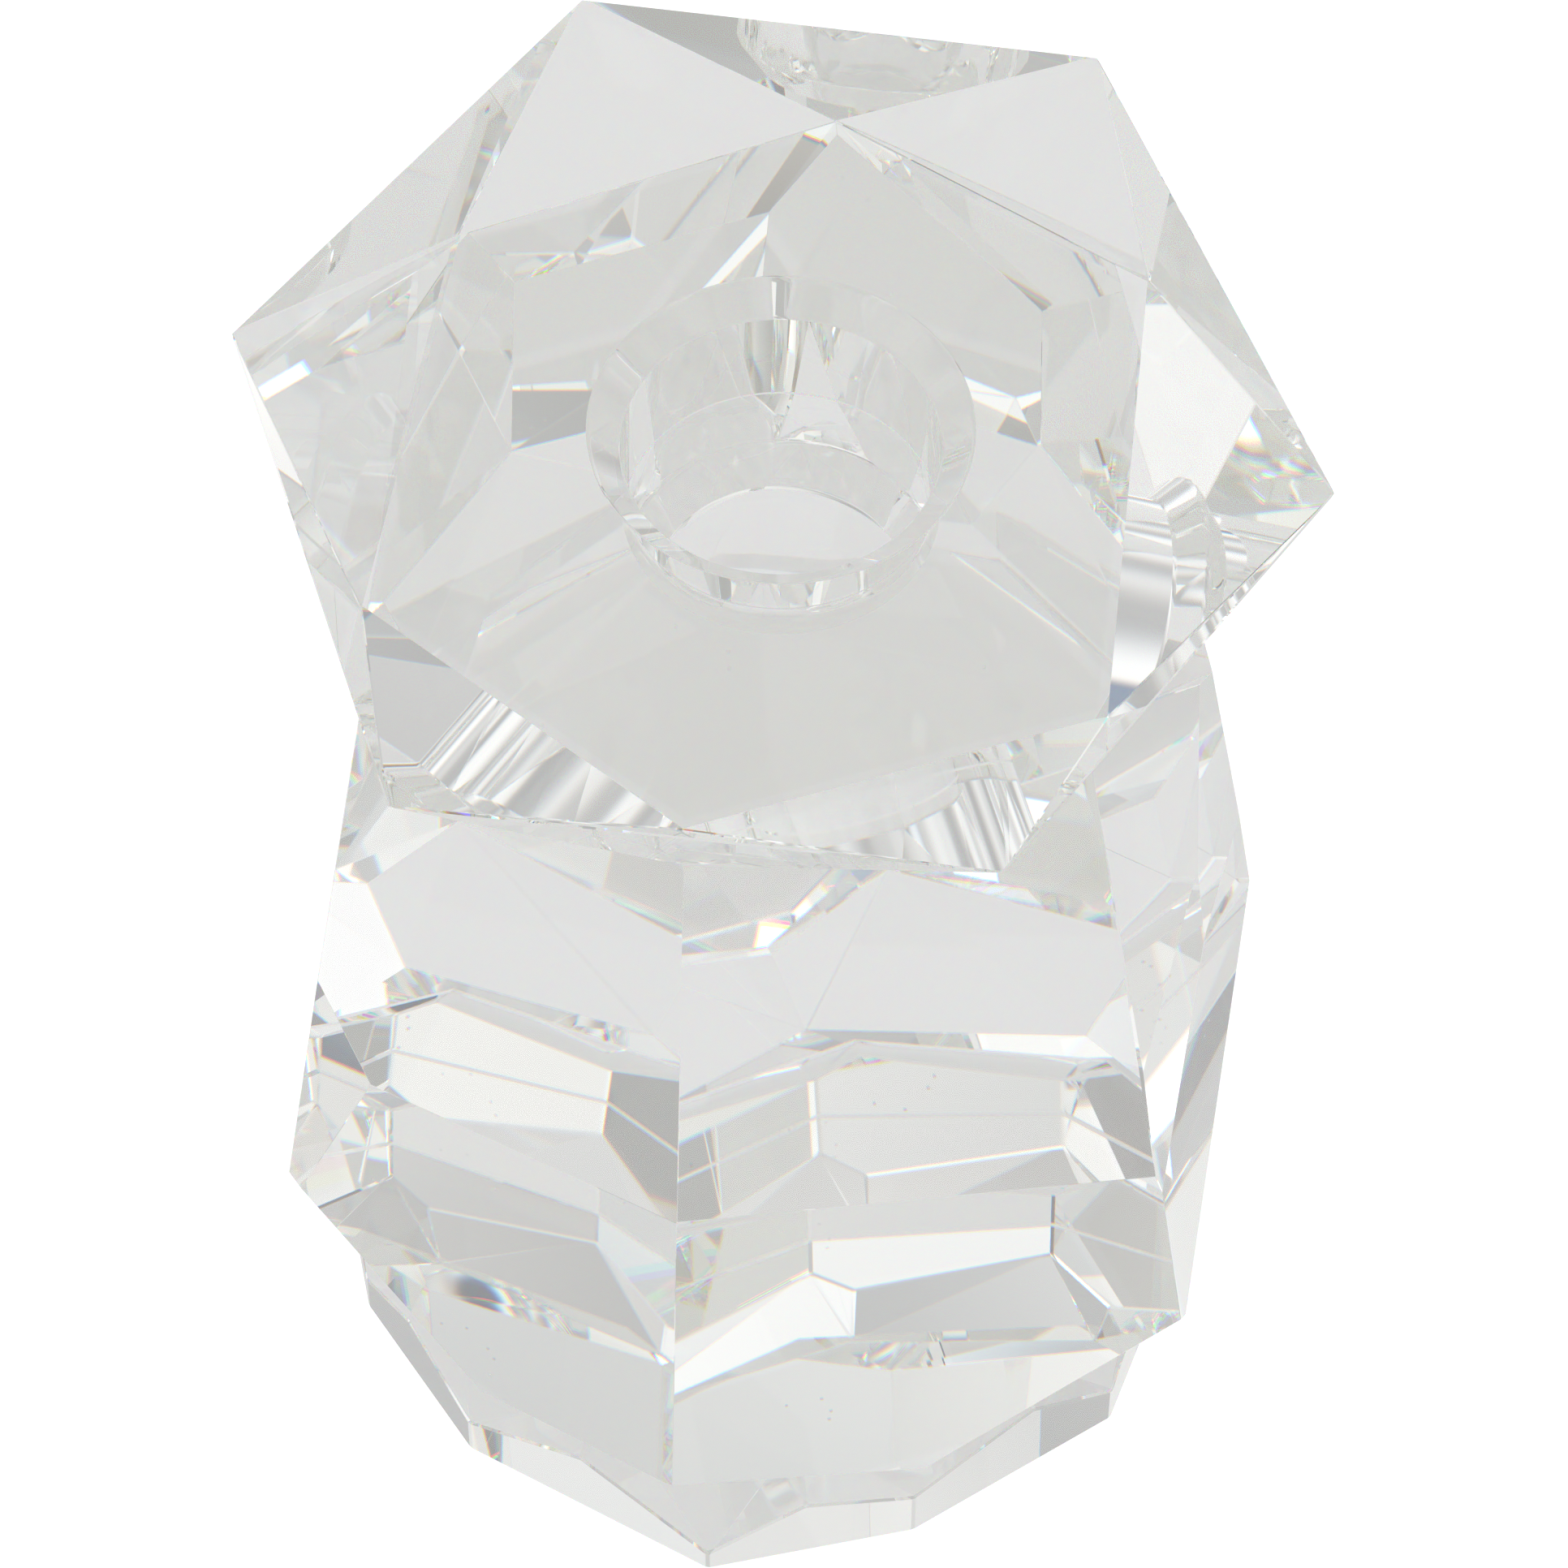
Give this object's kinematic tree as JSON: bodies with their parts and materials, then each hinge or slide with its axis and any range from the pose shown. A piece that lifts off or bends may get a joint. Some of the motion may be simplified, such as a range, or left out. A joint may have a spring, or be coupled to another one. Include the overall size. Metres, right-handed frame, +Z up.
{
  "type": "candlestick",
  "caption": "Cut crystal candlestick: faceted glass blocks bonded in a column, with a blind round socket in the flat top for a dinner candle.",
  "frame": {"origin": "the flat base, straight under the candle socket's axis", "axes": "+Z up along the candle socket, +X to the right and -Y towards the viewer as the candlestick is seen from the front"},
  "size_m": [0.0771, 0.082, 0.1],
  "materials": {
    "head_crystal": "polished optical crystal, clear",
    "upper_adhesive": "clear cured UV adhesive",
    "body_crystal": "polished optical crystal, clear",
    "lower_adhesive": "clear cured UV adhesive",
    "foot_crystal": "polished optical crystal, clear"
  },
  "bodies": {
    "root": {"head_block": "head_crystal", "upper_bond": "upper_adhesive", "body_block": "body_crystal", "lower_bond": "lower_adhesive", "foot_block": "foot_crystal"}
  },
  "joints": []
}
